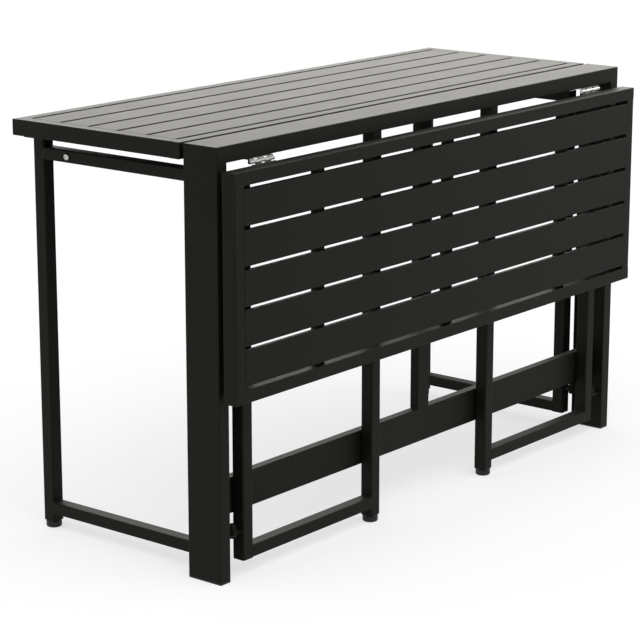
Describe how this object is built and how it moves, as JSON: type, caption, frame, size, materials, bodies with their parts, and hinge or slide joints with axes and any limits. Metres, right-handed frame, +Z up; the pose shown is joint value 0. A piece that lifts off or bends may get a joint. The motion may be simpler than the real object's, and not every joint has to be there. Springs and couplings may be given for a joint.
{
  "type": "folding garden table",
  "caption": "Narrow folding garden table with slatted drop leaves hinged to a slim fixed frame and tube gates that swing out to carry them.",
  "frame": {"origin": "on the floor, under the middle of the table's box with the back leaf raised and the front leaf hanging", "axes": "+X along the table, +Y towards the raised leaf, +Z up"},
  "size_m": [1.2, 0.503, 0.74],
  "materials": {
    "coated_aluminium": "fine satin black powder coat",
    "coated_steel": "fine satin black powder coat",
    "stainless": "satin",
    "black_plastic": "matte",
    "black_rubber": "matte"
  },
  "bodies": {
    "frame": {"beam_hinge_screws": "stainless", "centre_post": "coated_aluminium", "fixed_hinge_plates": "stainless", "gate_hinge_bolts": "coated_steel", "gate_hinge_nuts": "coated_steel", "gate_hinge_seats": "coated_steel", "leaf_hinge_pins": "stainless", "left_leg": "coated_aluminium", "leg_caps": "black_plastic", "lower_stretcher": "coated_aluminium", "right_leg": "coated_aluminium", "top_beam": "coated_aluminium"},
    "front_leaf": {"front_leaf_battens": "coated_aluminium", "front_leaf_end_rails": "coated_aluminium", "front_leaf_hinge_plates": "stainless", "front_leaf_hinge_screws": "stainless", "front_leaf_inner_rail": "coated_aluminium", "front_leaf_outer_rail": "coated_aluminium", "front_leaf_rubber_pads": "black_rubber", "front_leaf_slat_1": "coated_aluminium", "front_leaf_slat_2": "coated_aluminium", "front_leaf_slat_3": "coated_aluminium", "front_leaf_slat_4": "coated_aluminium", "front_leaf_slat_5": "coated_aluminium"},
    "back_leaf": {"back_leaf_battens": "coated_aluminium", "back_leaf_end_rails": "coated_aluminium", "back_leaf_hinge_plates": "stainless", "back_leaf_hinge_screws": "stainless", "back_leaf_inner_rail": "coated_aluminium", "back_leaf_outer_rail": "coated_aluminium", "back_leaf_rubber_pads": "black_rubber", "back_leaf_slat_1": "coated_aluminium", "back_leaf_slat_2": "coated_aluminium", "back_leaf_slat_3": "coated_aluminium", "back_leaf_slat_4": "coated_aluminium", "back_leaf_slat_5": "coated_aluminium"},
    "front_left_gate": {"front_left_gate_foot": "black_plastic", "front_left_gate_free_leg": "coated_aluminium", "front_left_gate_hinge_lugs": "coated_steel", "front_left_gate_hinge_post": "coated_aluminium", "front_left_gate_rails": "coated_aluminium", "front_left_gate_stop_screw": "stainless"},
    "front_right_gate": {"front_right_gate_foot": "black_plastic", "front_right_gate_free_leg": "coated_aluminium", "front_right_gate_hinge_lugs": "coated_steel", "front_right_gate_hinge_post": "coated_aluminium", "front_right_gate_rails": "coated_aluminium", "front_right_gate_stop_screw": "stainless"},
    "back_left_gate": {"back_left_gate_foot": "black_plastic", "back_left_gate_free_leg": "coated_aluminium", "back_left_gate_hinge_lugs": "coated_steel", "back_left_gate_hinge_post": "coated_aluminium", "back_left_gate_rails": "coated_aluminium", "back_left_gate_stop_screw": "stainless"},
    "back_right_gate": {"back_right_gate_foot": "black_plastic", "back_right_gate_free_leg": "coated_aluminium", "back_right_gate_hinge_lugs": "coated_steel", "back_right_gate_hinge_post": "coated_aluminium", "back_right_gate_rails": "coated_aluminium", "back_right_gate_stop_screw": "stainless"}
  },
  "joints": [
    {"name": "front_leaf_lift", "type": "hinge", "parent": "frame", "child": "front_leaf", "pos_m": [0, -0.2175, 0.706], "axis": [-1, 0, 0], "range_deg": [0, 90]},
    {"name": "back_leaf_lift", "type": "hinge", "parent": "frame", "child": "back_leaf", "pos_m": [0, -0.1375, 0.706], "axis": [1, 0, 0], "range_deg": [0, 5]},
    {"name": "back_left_gate_fold", "type": "hinge", "parent": "frame", "child": "back_left_gate", "pos_m": [-0.555, -0.155, 0], "axis": [0, 0, -1], "range_deg": [0, 90]},
    {"name": "back_right_gate_fold", "type": "hinge", "parent": "frame", "child": "back_right_gate", "pos_m": [0.555, -0.155, 0], "axis": [0, 0, 1], "range_deg": [0, 90]},
    {"name": "front_left_gate_swing", "type": "hinge", "parent": "frame", "child": "front_left_gate", "pos_m": [-0.555, -0.2, 0], "axis": [0, 0, -1], "range_deg": [0, 1.1]},
    {"name": "front_right_gate_swing", "type": "hinge", "parent": "frame", "child": "front_right_gate", "pos_m": [0.555, -0.2, 0], "axis": [0, 0, 1], "range_deg": [0, 1.1]}
  ]
}
